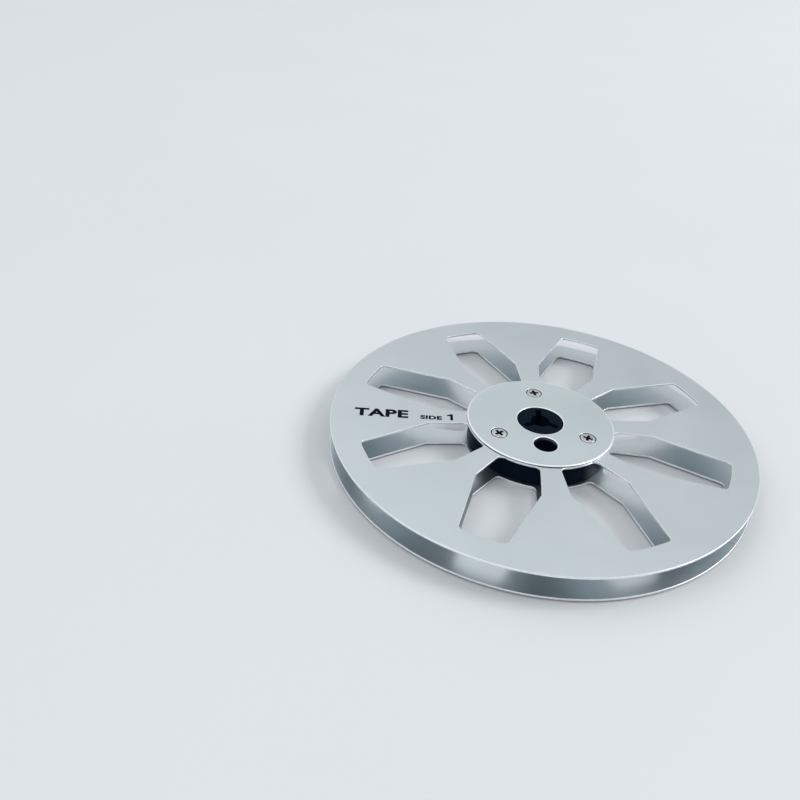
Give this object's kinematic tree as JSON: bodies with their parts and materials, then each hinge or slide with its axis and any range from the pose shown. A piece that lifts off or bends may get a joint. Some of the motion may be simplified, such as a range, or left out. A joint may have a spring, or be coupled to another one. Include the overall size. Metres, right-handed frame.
{
  "type": "open reel audio tape reel",
  "caption": "Empty seven-inch tape reel: two flat windowed metal flanges clamped to a black moulded hub with a three-slot spindle hole and a finger hole.",
  "frame": {"origin": "on the reel's axis, level with the outer face of the lower hub plate that it rests on", "axes": "+Z along the spindle axis out of side 1; +Y towards the spindle slot, the screw and the spoke that lie opposite the finger hole; +X to the right of side 1"},
  "size_m": [0.1778, 0.1778, 0.0128],
  "materials": {
    "flange_aluminium": "satin anodised, with bright cut edges",
    "plate_aluminium": "satin anodised, with a bright bevelled edge",
    "hub_plastic": "semi-gloss black moulding",
    "screw_steel": "bright plated steel",
    "bush_brass": "machined"
  },
  "bodies": {
    "root": {"upper_flange": "flange_aluminium", "lower_flange": "flange_aluminium", "hub": "hub_plastic", "upper_hub_plate": "plate_aluminium", "lower_hub_plate": "plate_aluminium", "upper_screw_1": "screw_steel", "upper_screw_2": "screw_steel", "upper_screw_3": "screw_steel", "lower_screw_1": "screw_steel", "lower_screw_2": "screw_steel", "lower_screw_3": "screw_steel", "threaded_bush_1": "bush_brass", "threaded_bush_2": "bush_brass", "threaded_bush_3": "bush_brass"}
  },
  "joints": []
}
